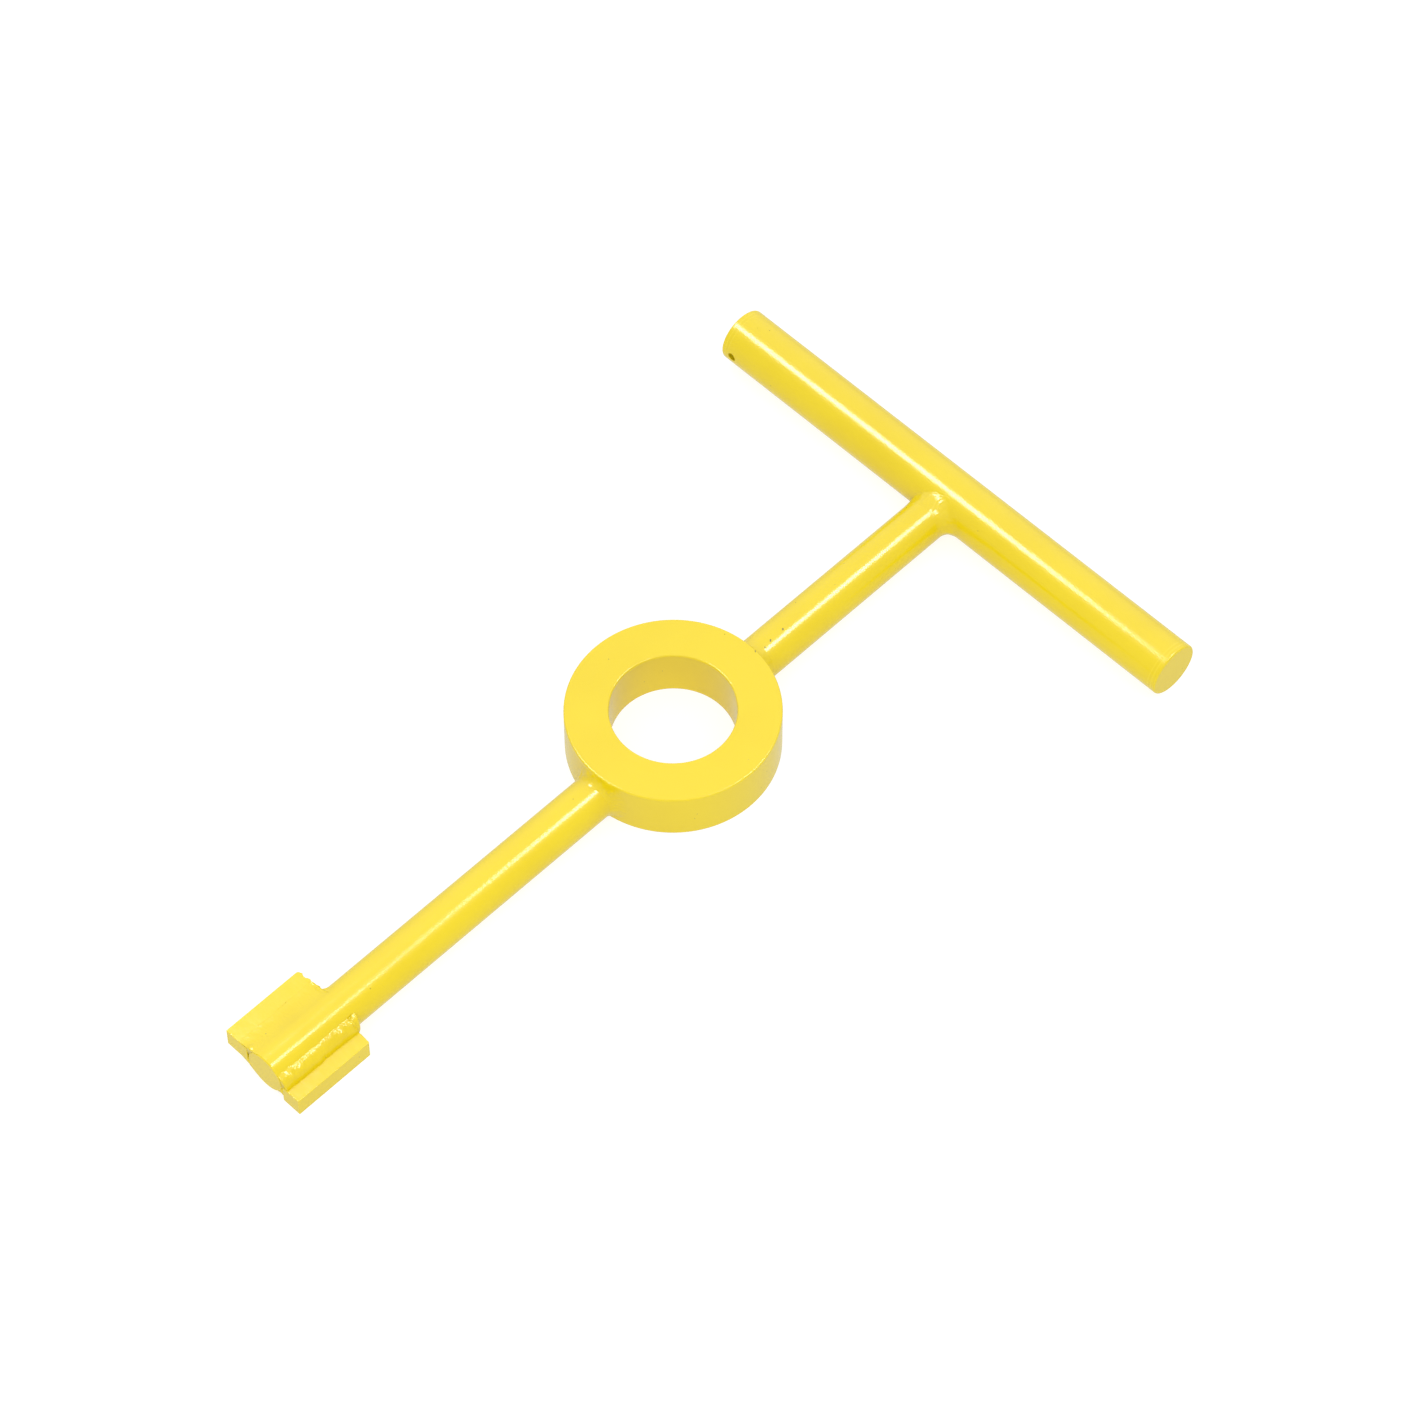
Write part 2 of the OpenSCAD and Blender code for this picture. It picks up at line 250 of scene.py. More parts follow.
# The table gives light but isn't mirrored, so the low flanks of the bars keep their deep yellow
table.visible_glossy = False
table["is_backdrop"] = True

# %% [markdown]
# ## The finish: polyester powder coat, sprayed and baked
#
# Powder flows as it bakes, so it is glossy and softly rippled: the ripple is called orange peel,
# about 2 mm from crest to crest and only hundredths of a millimetre high. It pulls thin on
# outside edges, where a lighter tone is painted on as an edge highlight, and it pools a little deeper
# elsewhere. Here and there gas from the metal leaves a pinhole, and a few chips beside the eye show
# use. Over a weld the same coat lies on rougher metal, so it is lumpier. An image texture would blur
# up close and stretch over the beads, so the whole finish is made of noise in object space, scaled
# from real millimetres.

# %% Mix the powder coat
PEEL_PITCH = 1.9 * MM
GRAIN_PITCH = 0.7 * MM
POOL_PITCH = 34 * MM
LUMP_PITCH = 4.5 * MM
PINHOLE_PITCH = 7 * MM
PINHOLE_RADIUS = 0.24 * MM
EDGE_HIGHLIGHT_WIDTH = 0.8 * MM
CHIP_RADIUS = 0.42 * MM
CHIP_LENGTH = 2.2
CHIP_HEADING = math.radians(40)
CHIP_RAGGEDNESS = 0.5 * MM
# Where use has knocked the coat off: three chips on the upper bar and one on the ring's edge
CHIPS = [Vector(place) * MM for place in
         ((2.2, 56.2, 7.4), (1.85, 64.1, 7.4), (3.0, 52.05, 7.4), (3.9, 45.3, 12.5))]
COAT_IOR = 1.58
ROUGHNESS_LOW = 0.14
ROUGHNESS_HIGH = 0.24
BARE_TONE = "7a7038"


def powder_coat(name, tone, deep, highlight_tone, peel_height, lump_height):
    """A glossy powder coat: its even tone, its pooled tone, its tone on edges, and its relief."""
    material = bpy.data.materials.new(name)
    material.use_nodes = True
    tree = material.node_tree
    shader = tree.nodes["Principled BSDF"]
    place = add(tree, "ShaderNodeTexCoord").outputs["Object"]

    def grain(pitch, detail):
        return add(tree, "ShaderNodeTexNoise", None,
                   {"Vector": place, "Scale": 1 / pitch, "Detail": detail})

    # Slow drift of film thickness, from the pooled tone to the even one
    pool = add(tree, "ShaderNodeMapRange", None,
               {"Value": grain(POOL_PITCH, 2.0), "From Min": 0.3, "From Max": 0.6})
    body = add(tree, "ShaderNodeMix", {"data_type": "RGBA"}, {
        "Factor_Float": pool,
        "A_Color": linear(deep), "B_Color": linear(tone)})

    # Edges, where a rounded-off normal would part from the true one, get a painted highlight tone
    soft = add(tree, "ShaderNodeBevel", {"samples": 4}, {"Radius": EDGE_HIGHLIGHT_WIDTH})
    true = add(tree, "ShaderNodeNewGeometry")
    agree = add(tree, "ShaderNodeVectorMath", {"operation": "DOT_PRODUCT"},
                {0: soft, 1: true.outputs["Normal"]})
    edge_highlight = add(tree, "ShaderNodeMapRange", None, {
        "Value": agree, "From Min": 0.99, "From Max": 0.86, "To Max": 0.6})
    body_with_highlight = add(tree, "ShaderNodeMix", {"data_type": "RGBA"}, {
        "Factor_Float": edge_highlight,
        "A_Color": body,
        "B_Color": linear(highlight_tone)})

    # Pinholes: the few cells of a coarse foam whose middle lies in the surface
    foam = add(tree, "ShaderNodeTexVoronoi", None, {"Vector": place, "Scale": 1 / PINHOLE_PITCH})
    hole = add(tree, "ShaderNodeMapRange", None, {
        "Value": foam,
        "From Min": PINHOLE_RADIUS / PINHOLE_PITCH, "From Max": 0.6 * PINHOLE_RADIUS / PINHOLE_PITCH})

    # Chips: ragged scratches at a few chosen places. The noise that frays them averages one half,
    # so each place is moved by half the fraying to stay where it is meant
    bare = hole
    ragged = add(tree, "ShaderNodeVectorMath", {"operation": "SCALE"},
                 {0: grain(0.6 * MM, 1.0).outputs["Color"], "Scale": CHIP_RAGGEDNESS})
    shaken = add(tree, "ShaderNodeVectorMath", {"operation": "ADD"}, {0: place, 1: ragged})
    squeezed = add(tree, "ShaderNodeMapping", {"vector_type": "TEXTURE"}, {
        "Vector": shaken, "Rotation": (0, 0, CHIP_HEADING), "Scale": (1, CHIP_LENGTH, 1)})
    for chip in CHIPS:
        middle = Quaternion(UP, -CHIP_HEADING) @ (chip + Vector((1, 1, 1)) * CHIP_RAGGEDNESS / 2)
        middle.y /= CHIP_LENGTH
        reach = add(tree, "ShaderNodeVectorMath", {"operation": "DISTANCE"}, {0: squeezed, 1: middle})
        spot = add(tree, "ShaderNodeMapRange", None, {
            "Value": reach.outputs["Value"], "From Min": CHIP_RADIUS, "From Max": 0.5 * CHIP_RADIUS})
        bare = add(tree, "ShaderNodeMath", {"operation": "MAXIMUM"}, {0: bare, 1: spot})
    colour = add(tree, "ShaderNodeMix", {"data_type": "RGBA"}, {
        "Factor_Float": bare,
        "A_Color": body_with_highlight, "B_Color": linear(BARE_TONE)})

    # Relief: weld lumps if any, then the orange peel, then a fine grain, then the pinholes
    normal = None
    for fac, height in ((grain(LUMP_PITCH, 1.0), lump_height), (grain(PEEL_PITCH, 1.0), peel_height),
                        (grain(GRAIN_PITCH, 1.0), 0.05 * peel_height), (hole, -0.1 * MM)):
        bump = add(tree, "ShaderNodeBump", {"invert": height < 0},
                   {"Height": fac, "Distance": abs(height)})
        if normal is not None:
            tree.links.new(normal, bump.inputs["Normal"])
        normal = bump.outputs["Normal"]

    gloss = add(tree, "ShaderNodeMapRange", None, {
        "Value": grain(3 * PEEL_PITCH, 2.0), "To Min": ROUGHNESS_LOW, "To Max": ROUGHNESS_HIGH})
    tree.links.new(colour.outputs[2], shader.inputs["Base Color"])
    tree.links.new(gloss.outputs["Result"], shader.inputs["Roughness"])
    tree.links.new(normal, shader.inputs["Normal"])
    shader.inputs["IOR"].default_value = COAT_IOR
    print("mixed", name, "with", len(tree.nodes), "nodes")
    return material


# On the bars the coat reads as even, glossy yellow with a faintly wavering shine. On the welds the
# lumps under it break the shine into specks
# The third tone of each coat is a lighter one for the edges, a painted edge highlight
plain_coat = powder_coat("powder_coat_on_bar", "dfc60e", "dcc209", "e6d02c", 0.035 * MM, 0.01 * MM)
weld_coat = powder_coat("powder_coat_on_weld", "dec50d", "d9be08", "e6d02c", 0.04 * MM, 0.10 * MM)

KEPT_PLAIN = ("upper_shank", "lower_shank", "handle_tube", "handle_cap_left", "handle_cap_right")
KEPT_WELDS = ("cap_seam_left", "cap_seam_right")
for names, coat in ((KEPT_PLAIN, plain_coat), (KEPT_WELDS, weld_coat)):
    for name in names:
        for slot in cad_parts[name].material_slots:
            slot.material = coat

# %% [markdown]
# ## The ring: a shape that follows a rule
#
# The eye is a slice of thick tube with its corners broken. Its rule is short: a rectangle with
# rounded corners, swept once round a circle. Geometry Nodes say just that, so the sizes stay live
# until the mesh is settled. The corners are a touch rounder than bare metal, because the coat
# bridges them. A weighted normal keeps the flat faces dead flat beside the rounded corners.

# %% Helpers for geometry trees


def new_tree(name, inputs):
    """An empty geometry tree with a geometry input and output, and these named inputs."""
    tree = bpy.data.node_groups.new(name, "GeometryNodeTree")
    tree.interface.new_socket("Geometry", in_out="INPUT", socket_type="NodeSocketGeometry")
    for label, kind in inputs.items():
        tree.interface.new_socket(label, in_out="INPUT", socket_type="NodeSocket" + kind)
    tree.interface.new_socket("Geometry", in_out="OUTPUT", socket_type="NodeSocketGeometry")
    return tree, add(tree, "NodeGroupInput").outputs


def end_tree(tree, geometry, material):
    """Real faces instead of instances, then the finish."""
    real = add(tree, "GeometryNodeRealizeInstances", None, {"Geometry": geometry})
    painted = add(tree, "GeometryNodeSetMaterial", None,
                  {"Geometry": real.outputs["Geometry"], "Material": material})
    add(tree, "NodeGroupOutput", None, {"Geometry": painted.outputs["Geometry"]})


def give_tree(piece, tree, values):
    """Puts the tree on a piece and sets its inputs by the sockets' identifiers."""
    modifier = piece.modifiers.new(tree.name, "NODES")
    modifier.node_group = tree
    for item in tree.interface.items_tree:
        if item.in_out == "INPUT" and item.name in values:
            modifier[item.identifier] = values[item.name]


def new_piece(name, mesh=None):
    """An object in the scene, with an empty mesh unless one is given."""
    piece = bpy.data.objects.new(name, mesh or bpy.data.meshes.new(name))
    bpy.context.scene.collection.objects.link(piece)
    return piece


def settle(piece, slot, *nodes):
    """Turns a piece with live modifiers into a plain mesh that rides on the frame for these nodes."""
    graph = bpy.context.evaluated_depsgraph_get()
    mesh = bpy.data.meshes.new_from_object(piece.evaluated_get(graph), depsgraph=graph)
    piece.modifiers.clear()
    piece.data = mesh
    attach(piece, "root")
    if nodes:
        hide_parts(*nodes)
    print(f"{piece.name}: {len(mesh.polygons)} faces, size",
          " x ".join(f"{side / MM:.1f}" for side in piece.dimensions), "mm")


# %% Sweep the ring
RING_CORNER = 0.8 * MM
RING_STEPS = 240

ring_tree, size = new_tree("turned_ring", {
    "Outer Radius": "Float", "Bore Radius": "Float", "Thickness": "Float",
    "Corner": "Float", "Steps": "Int", "Finish": "Material"})
wall = add(ring_tree, "ShaderNodeMath", {"operation": "SUBTRACT"},
           {0: size["Outer Radius"], 1: size["Bore Radius"]})
middle = add(ring_tree, "ShaderNodeMath", {"operation": "MULTIPLY_ADD"},
             {0: wall, 1: 0.5, 2: size["Bore Radius"]})
section = add(ring_tree, "GeometryNodeCurvePrimitiveQuadrilateral", None,
              {"Width": wall, "Height": size["Thickness"]})
rounded = add(ring_tree, "GeometryNodeFilletCurve", {"mode": "POLY"},
              {"Curve": section, "Radius": size["Corner"], "Count": 6})
path = add(ring_tree, "GeometryNodeCurvePrimitiveCircle", None,
           {"Radius": middle, "Resolution": size["Steps"]})
swept = add(ring_tree, "GeometryNodeCurveToMesh", None,
            {"Curve": path, "Profile Curve": rounded})
smooth = add(ring_tree, "GeometryNodeSetShadeSmooth", None, {"Geometry": swept})
end_tree(ring_tree, smooth.outputs["Geometry"], size["Finish"])

eye = new_piece("ring_eye")
give_tree(eye, ring_tree, {
    "Outer Radius": ring_radius, "Bore Radius": bore_radius, "Thickness": ring_high.z - ring_low.z,
    "Corner": RING_CORNER, "Steps": RING_STEPS, "Finish": plain_coat})
eye.modifiers.new("flat_faces", "WEIGHTED_NORMAL").keep_sharp = True
settle(eye, "powder_coat", "ring")

# %% [markdown]
# ## The key wings
#
# Each wing is a short length of flat bar. One long side and the tip are sheared straight. The rear
# end is cut by torch, which leaves fine upright drag lines, and a corner that has run. So a wing is
# an outline seen from above, with a wandering rear edge, raised to the bar's thickness and bevelled.

# %% Cut the wings
WING_CORNER = 0.7 * MM


def wander(distance, pitch, seed):
    """A smooth random number from about -1 to 1 that changes over the given pitch."""
    return noise.noise(Vector((distance / pitch, 7.3 * seed, 1.9 * seed)))


def wing(name, inner_x, outer_x, slope, corner, ragged_height, seed):
    """A wing between two sides, its rear edge ragged, out of square by slope, rounded at one corner."""
    low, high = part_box(name)
    side = math.copysign(1, outer_x - inner_x)
    outline = [Vector((inner_x, low.y)), Vector((outer_x, low.y))]
    for step in range(7):
        bend = math.radians(15 * step)
        outline.append(Vector((outer_x - side * corner * (1 - math.cos(bend)),
                               high.y - slope - corner * (1 - math.sin(bend)))))
    steps = 26
    for step in range(1, steps + 1):
        share = step / steps
        x = outline[8].x + (inner_x - outline[8].x) * share
        ragged = ragged_height * (wander(x, 3.4 * MM, seed) + 0.2 * wander(x, 0.9 * MM, seed + 1))
        outline.append(Vector((x, high.y - slope * (1 - share) + ragged)))
    shape = bmesh.new()
    floor = [shape.verts.new((p.x, p.y, low.z)) for p in outline]
    roof = [shape.verts.new((p.x, p.y, high.z)) for p in outline]
    shape.faces.new(floor)
    shape.faces.new(roof)
    for i in range(len(outline)):
        j = (i + 1) % len(outline)
        shape.faces.new((floor[i], floor[j], roof[j], roof[i]))
    bmesh.ops.recalc_face_normals(shape, faces=shape.faces)
    for face in shape.faces:
        face.smooth = True
    mesh = bpy.data.meshes.new(name + "_plate")
    shape.to_mesh(mesh)
    shape.free()
    mesh.materials.append(plain_coat)
    plate = new_piece(name + "_plate", mesh)
    bevel = plate.modifiers.new("broken_edges", "BEVEL")
    bevel.width = WING_CORNER
    bevel.segments = 4
    bevel.limit_method = "ANGLE"
    bevel.angle_limit = math.radians(40)
    bevel.harden_normals = True
    settle(plate, "powder_coat", name)


left_low, left_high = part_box("left_wing")
right_low, right_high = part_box("right_wing")
wing("left_wing", left_high.x, left_low.x, 0.0, 1.5 * MM, 2.3 * MM, 3)
wing("right_wing", right_low.x, right_high.x, 0.6 * MM, 0.6 * MM, 0.35 * MM, 5)

# %% [markdown]
# ## The weld beads
#
# A bead is a string of molten metal frozen in the corner between two pieces. Cut across, it is a
# curve from its toe on one piece to its toe on the other. A hollow bead is a cove that leaves each
# toe nearly flush, and a full one stands up like a pillow. Along its run it carries ripples, one
# for each small advance of the torch, and lumps where the welder stopped and started.
#
# A swept circle would not sit flush on two curved surfaces, so each bead is a skin laid row by row:
# a row goes from toe to toe over the corner, then dives under both surfaces to close the shape.
# Two numbers are kept on each point: how far along the bead it lies and how near the crown it is.

# %% Lay a bead as rows
ROW_GAP = 0.35 * MM
CROSS_STEPS = 14
BURIED = 0.9 * MM
TOE_RUN = 0.5 * MM
TOE_SINK = 0.12 * MM


def eased(table, place):
    """Reads a size between the entries of a {place: size} table, with no kinks."""
    places = sorted(table)
    place = min(max(place, places[0]), places[-1])
    for low, high in zip(places, places[1:]):
        if place <= high:
            share = (place - low) / (high - low)
            share = share * share * (3 - 2 * share)
            return table[low] + (table[high] - table[low]) * share
    return table[places[-1]]


class Row:
    """One row of a bead: its toe and outward direction on each piece, and how it curves between.

    A bead is drawn by its corner, where the two surfaces would meet. Leans given as well make it
    fuller. The root is the buried point that closes the row inside the metal."""

    def __init__(self, toes, outs, corner, leans=None, root=None):
        self.toes = toes
        self.outs = outs
        self.leans = leans or [toe.lerp(corner, 2 / 3) for toe in toes]
        self.root = root or corner - (outs[0] + outs[1]) * 1.6 * BURIED

    def shrunk(self, share):
        """The same row drawn together onto its second toe, for the rounded end of a bead."""
        towards = self.toes[1]
        return Row([towards.lerp(toe, share) for toe in self.toes], self.outs, None,
                   [towards.lerp(lean, share) for lean in self.leans], towards.lerp(self.root, share))

    def points(self):
        """The seen curve from toe to toe, then the buried way back, with its crown values."""
        ends = [(toe - (lean - toe).normalized() * TOE_RUN - out * TOE_SINK, 0.0)
                for toe, lean, out in zip(self.toes, self.leans, self.outs)]
        points = [ends[0]]
        for step in range(CROSS_STEPS + 1):
            t = step / CROSS_STEPS
            shares = (1 - t) ** 3, 3 * t * (1 - t) ** 2, 3 * t * t * (1 - t), t ** 3
            path = self.toes[0], self.leans[0], self.leans[1], self.toes[1]
            curve = sum((place * share for place, share in zip(path, shares)), Vector())
            points.append((curve, math.sin(math.pi * t)))
        points.append(ends[1])
        points.append((self.toes[1] - self.outs[1] * BURIED, 0.0))
        points.append((self.root, 0.0))
        points.append((self.toes[0] - self.outs[0] * BURIED, 0.0))
        return points


def lay_bead(name, rows, lumps=()):
    """Joins the rows into one closed skin. Each lump is a place, a radius and a height, in mm."""
    spots = [(Vector(place) * MM, radius * MM, height * MM) for place, radius, height in lumps]
    shape = bmesh.new()
    along_layer = shape.verts.layers.float.new("along")
    crown_layer = shape.verts.layers.float.new("crown")
    rings = []
    travelled = 0.0
    for index, row in enumerate(rows):
        if index:
            travelled += (row.leans[1] - rows[index - 1].leans[1]).length
        outward = (row.outs[0] + row.outs[1]).normalized()
        ring = []
        for point, crown in row.points():
            swell = sum(height * math.exp(-((point - place).length / radius) ** 2)
                        for place, radius, height in spots) if crown else 0.0
            vert = shape.verts.new(point + outward * swell * min(1.0, 2.5 * crown))
            vert[along_layer] = travelled
            vert[crown_layer] = crown
            ring.append(vert)
        rings.append(ring)
    for near, far in zip(rings, rings[1:]):
        for i in range(len(near)):
            j = (i + 1) % len(near)
            shape.faces.new((near[i], near[j], far[j], far[i]))
    for ring in (rings[0], rings[-1]):
        hub = shape.verts.new(sum((v.co for v in ring), Vector()) / len(ring))
        for i in range(len(ring)):
            shape.faces.new((ring[i], ring[(i + 1) % len(ring)], hub))
    bmesh.ops.recalc_face_normals(shape, faces=shape.faces)
    for face in shape.faces:
        face.smooth = True
    mesh = bpy.data.meshes.new(name)
    shape.to_mesh(mesh)
    shape.free()
    return new_piece(name, mesh)


# %% [markdown]
# ## Ripples and spatter by Geometry Nodes
#
# Every bead gets the same surface by the same rule, so the rule is one tree. It pushes the skin
# outwards by a row of scallops that follow the "along" number, bends them with noise so no two are
# alike, fades them out at the toes with the "crown" number, and scatters a few frozen droplets.

# %% Build the ripple tree
TURN = 2 * math.pi

ripple_tree, size = new_tree("frozen_ripples", {
    "Ripple Pitch": "Float", "Ripple Height": "Float", "Lump Size": "Float", "Lump Height": "Float",
    "Droplets": "Float", "Droplet Radius": "Float", "Top Height": "Float", "Seed": "Int",
    "Finish": "Material"})
along = add(ripple_tree, "GeometryNodeInputNamedAttribute", {"data_type": "FLOAT"}, {"Name": "along"})
crown = add(ripple_tree, "GeometryNodeInputNamedAttribute", {"data_type": "FLOAT"}, {"Name": "crown"})
lump_scale = add(ripple_tree, "ShaderNodeMath", {"operation": "DIVIDE"},
                 {0: 1.0, 1: size["Lump Size"]})
lumps = add(ripple_tree, "ShaderNodeTexNoise", {"noise_dimensions": "4D"},
            {"W": size["Seed"], "Scale": lump_scale, "Detail": 1.0})
centred = add(ripple_tree, "ShaderNodeMath", {"operation": "SUBTRACT"}, {0: lumps, 1: 0.5})
bent = add(ripple_tree, "ShaderNodeMath", {"operation": "DIVIDE"},
           {0: along, 1: size["Ripple Pitch"]})
bent = add(ripple_tree, "ShaderNodeMath", {"operation": "MULTIPLY_ADD"},
           {0: centred, 1: 3.0, 2: bent})
# A ripple is curved across the bead: its middle lags behind its toes
bent = add(ripple_tree, "ShaderNodeMath", {"operation": "MULTIPLY_ADD"},
           {0: crown, 1: -0.8, 2: bent})
angle = add(ripple_tree, "ShaderNodeMath", {"operation": "MULTIPLY"}, {0: bent, 1: TURN})
scallop = add(ripple_tree, "ShaderNodeMath", {"operation": "SINE"}, {0: angle})
ripples = add(ripple_tree, "ShaderNodeMath", {"operation": "MULTIPLY"},
              {0: scallop, 1: size["Ripple Height"]})
relief = add(ripple_tree, "ShaderNodeMath", {"operation": "MULTIPLY_ADD"},
             {0: centred, 1: size["Lump Height"], 2: ripples})
faded = add(ripple_tree, "ShaderNodeMath", {"operation": "MULTIPLY"},
            {0: relief, 1: crown})
push = add(ripple_tree, "ShaderNodeVectorMath", {"operation": "SCALE"},
           {0: add(ripple_tree, "GeometryNodeInputNormal"), "Scale": faded})
skin = add(ripple_tree, "GeometryNodeSetPosition", None,
           {"Geometry": size["Geometry"], "Offset": push})
on_crown = add(ripple_tree, "FunctionNodeCompare", {"operation": "GREATER_THAN"},
               {"A": crown, "B": 0.35})
# No bead may stand above the ring's top face, so the skin is held below that level
where = add(ripple_tree, "ShaderNodeSeparateXYZ", None,
            {0: add(ripple_tree, "GeometryNodeInputPosition")})
ground = add(ripple_tree, "ShaderNodeMath", {"operation": "MINIMUM"},
             {0: where.outputs["Z"], 1: size["Top Height"]})
level = add(ripple_tree, "ShaderNodeCombineXYZ", None,
            {"X": where.outputs["X"], "Y": where.outputs["Y"], "Z": ground})
skin = add(ripple_tree, "GeometryNodeSetPosition", None, {"Geometry": skin, "Position": level})
spots = add(ripple_tree, "GeometryNodeDistributePointsOnFaces", None, {
    "Mesh": skin.outputs["Geometry"], "Selection": on_crown,
    "Density": size["Droplets"], "Seed": size["Seed"]})
drop = add(ripple_tree, "GeometryNodeMeshIcoSphere", None, {"Radius": 1.0, "Subdivisions": 3})
drop_low = add(ripple_tree, "ShaderNodeMath", {"operation": "MULTIPLY"},
               {0: size["Droplet Radius"], 1: 0.5})
drop_size = add(ripple_tree, "FunctionNodeRandomValue", {"data_type": "FLOAT"}, {
    "Min_001": drop_low, "Max_001": size["Droplet Radius"], "Seed": size["Seed"]})
drops = add(ripple_tree, "GeometryNodeInstanceOnPoints", None, {
    "Points": spots, "Instance": drop, "Scale": drop_size})
both = add(ripple_tree, "GeometryNodeJoinGeometry")
ripple_tree.links.new(drops.outputs["Instances"], both.inputs["Geometry"])
ripple_tree.links.new(skin.outputs["Geometry"], both.inputs["Geometry"])
smooth = add(ripple_tree, "GeometryNodeSetShadeSmooth", None, {"Geometry": both.outputs["Geometry"]})
end_tree(ripple_tree, smooth.outputs["Geometry"], size["Finish"])


def freeze(piece, seed, *nodes, ripple=0.06, pitch=1.7, lump=0.5, droplets=1500.0):
    """Gives a bead its ripples and droplets and lets it stand for its nodes. Sizes in millimetres."""
    give_tree(piece, ripple_tree, {
        "Ripple Pitch": pitch * MM, "Ripple Height": ripple * MM, "Lump Size": 3.2 * MM,
        "Lump Height": lump * MM, "Droplets": droplets, "Droplet Radius": 0.3 * MM,
        "Top Height": ring_high.z - 0.3 * MM, "Seed": seed, "Finish": weld_coat})
    settle(piece, "powder_coat_over_weld", *nodes)


# %% [markdown]
# ## Collars: beads that run round the bar
#
# Where the bar butts against the handle or the ring, the bead runs round the bar from bench level
# on one side, over the top, and down to the bench on the other. Angles are counted round the bar
# from its right side (0) over the top (90) to its left side (180). Each collar has two small
# tables: how far its leg reaches up the wall, and how far it runs out along the bar.

# %% Weld the collars


def on_bar(angle, reach=0.0):
    """A place round the bar's section and the outward direction there."""
    out = Vector((math.cos(angle), 0, math.sin(angle)))
    return Vector((shank.across, 0, shank.up)) + out * (shank.radius + reach), out


def handle_wall(x, z):
    """The handle's near side at a height, and the outward direction there."""
    z = max(-0.99 * handle.radius, min(0.99 * handle.radius, z))
    y = handle.across - math.sqrt(handle.radius ** 2 - (z - handle.up) ** 2)
    return y, Vector((0, y - handle.across, z - handle.up)).normalized()


def ring_wall(side):
    """The ring's wall. A toe that would rise past the top edge laps onto the top face instead."""
    def wall(x, z):
        lap = max(0.0, z - ring_high.z)
        y = side * (math.sqrt(ring_radius ** 2 - x ** 2) - lap)
        lean = min(1.0, lap / (0.5 * MM))
        return y, Vector((x, y, lean * ring_radius)).normalized()
    return wall


def collar_rows(wall, side, legs, runs, seed, level=False, swell=0.35):
    """Rows round the bar against a wall. Legs and runs are {degrees: millimetres}.

    A leg spreads away from the bar, or sideways under the bar's middle and where level is set."""
    start, end = min(legs), max(legs)
    count = int(math.radians(end - start) * shank.radius * 1.3 / ROW_GAP)
    rows = []
    for index in range(count + 1):
        degrees = start + (end - start) * index / count
        angle = math.radians(degrees)
        travel = angle * shank.radius
        leg = eased(legs, degrees) * MM + 0.3 * MM * wander(travel, 3.0 * MM, seed)
        run = eased(runs, degrees) * MM + 0.35 * MM * wander(travel, 2.6 * MM, seed + 1)
        root, out = on_bar(angle)
        root.y, _ = wall(root.x, root.z)
        toe_a = on_bar(angle, leg)[0]
        if level or math.sin(angle) < 0:
            toe_a = root + Vector((math.copysign(leg, out.x), 0, 0))
        toe_a.y, out_a = wall(toe_a.x, toe_a.z)
        toe_a.z = min(toe_a.z, ring_high.z - 0.03 * MM)
        toe_b = root + Vector((0, side * run, 0))
        corner = root + (out_a + out) * swell * MM
        rows.append(Row((toe_a, toe_b), (out_a, out), corner))
    return rows


handle_bead = lay_bead("handle_bead", collar_rows(
    handle_wall, -1,
    {-58: 2.2, -20: 5.2, 0: 6.1, 30: 6.4, 60: 4.2, 90: 2.0, 120: 1.2, 150: 1.0, 190: 1.4,
     215: 2.6, 238: 2.2},
    {-58: 3.5, -20: 4.7, 0: 4.8, 45: 5.5, 90: 6.5, 135: 6.5, 180: 6.0, 238: 4.0}, seed=11),
    lumps=[((13.0, 155.5, -1.5), 1.6, 0.7)])
freeze(handle_bead, 1, "handle_weld", ripple=0.05, lump=0.6)

lower_bead = lay_bead("lower_ring_bead", collar_rows(
    ring_wall(-1), -1,
    {-58: 2.6, -20: 5.0, 0: 5.5, 30: 6.6, 45: 6.4, 60: 6.4, 75: 6.2, 90: 5.8, 105: 5.2,
     120: 4.2, 150: 3.0, 180: 2.6, 238: 2.4},
    {-58: 3.0, 0: 3.4, 30: 3.0, 60: 2.9, 90: 3.8, 120: 3.1, 180: 3.0, 238: 3.0}, seed=21, swell=0.5),
    lumps=[((-0.6, -46.8, 11.2), 1.1, 1.3),
           ((2.4, -46.7, 11.3), 1.1, 1.5),
           ((4.8, -46.5, 11.2), 1.0, 1.3),
           ((-4.5, -47.0, 9.0), 1.5, 0.8)])
freeze(lower_bead, 2, "lower_ring_weld", ripple=0.06, lump=0.7)

upper_bead = lay_bead("upper_ring_bead", collar_rows(
    ring_wall(1), 1,
    {-58: 2.6, -20: 4.6, 0: 5.0, 30: 5.0, 60: 4.2, 90: 3.6, 120: 3.2, 150: 2.8, 180: 2.6, 238: 2.4},
    {-58: 3.6, 0: 5.4, 45: 5.6, 90: 5.5, 135: 5.2, 180: 4.5, 238: 3.6}, seed=31, swell=0.4))
freeze(upper_bead, 3, "upper_ring_weld", ripple=0.07, lump=0.6)

# %% [markdown]
# ## Seams: beads that run along the bar
#
# Each wing is held by a bead over it and a bead under it, from the tip to the wing's rear, and by a
# short heel bead that turns round the wing's end. Over the left wing the welder filled wide and
# smooth. Over the right one the bead is narrow and full, with a blob where it starts and stops.

# %% Weld the seams
# Beads start a hair behind the tip's face, so that no bead shares a plane with the bar's end
TIP_GAP = 0.1 * MM
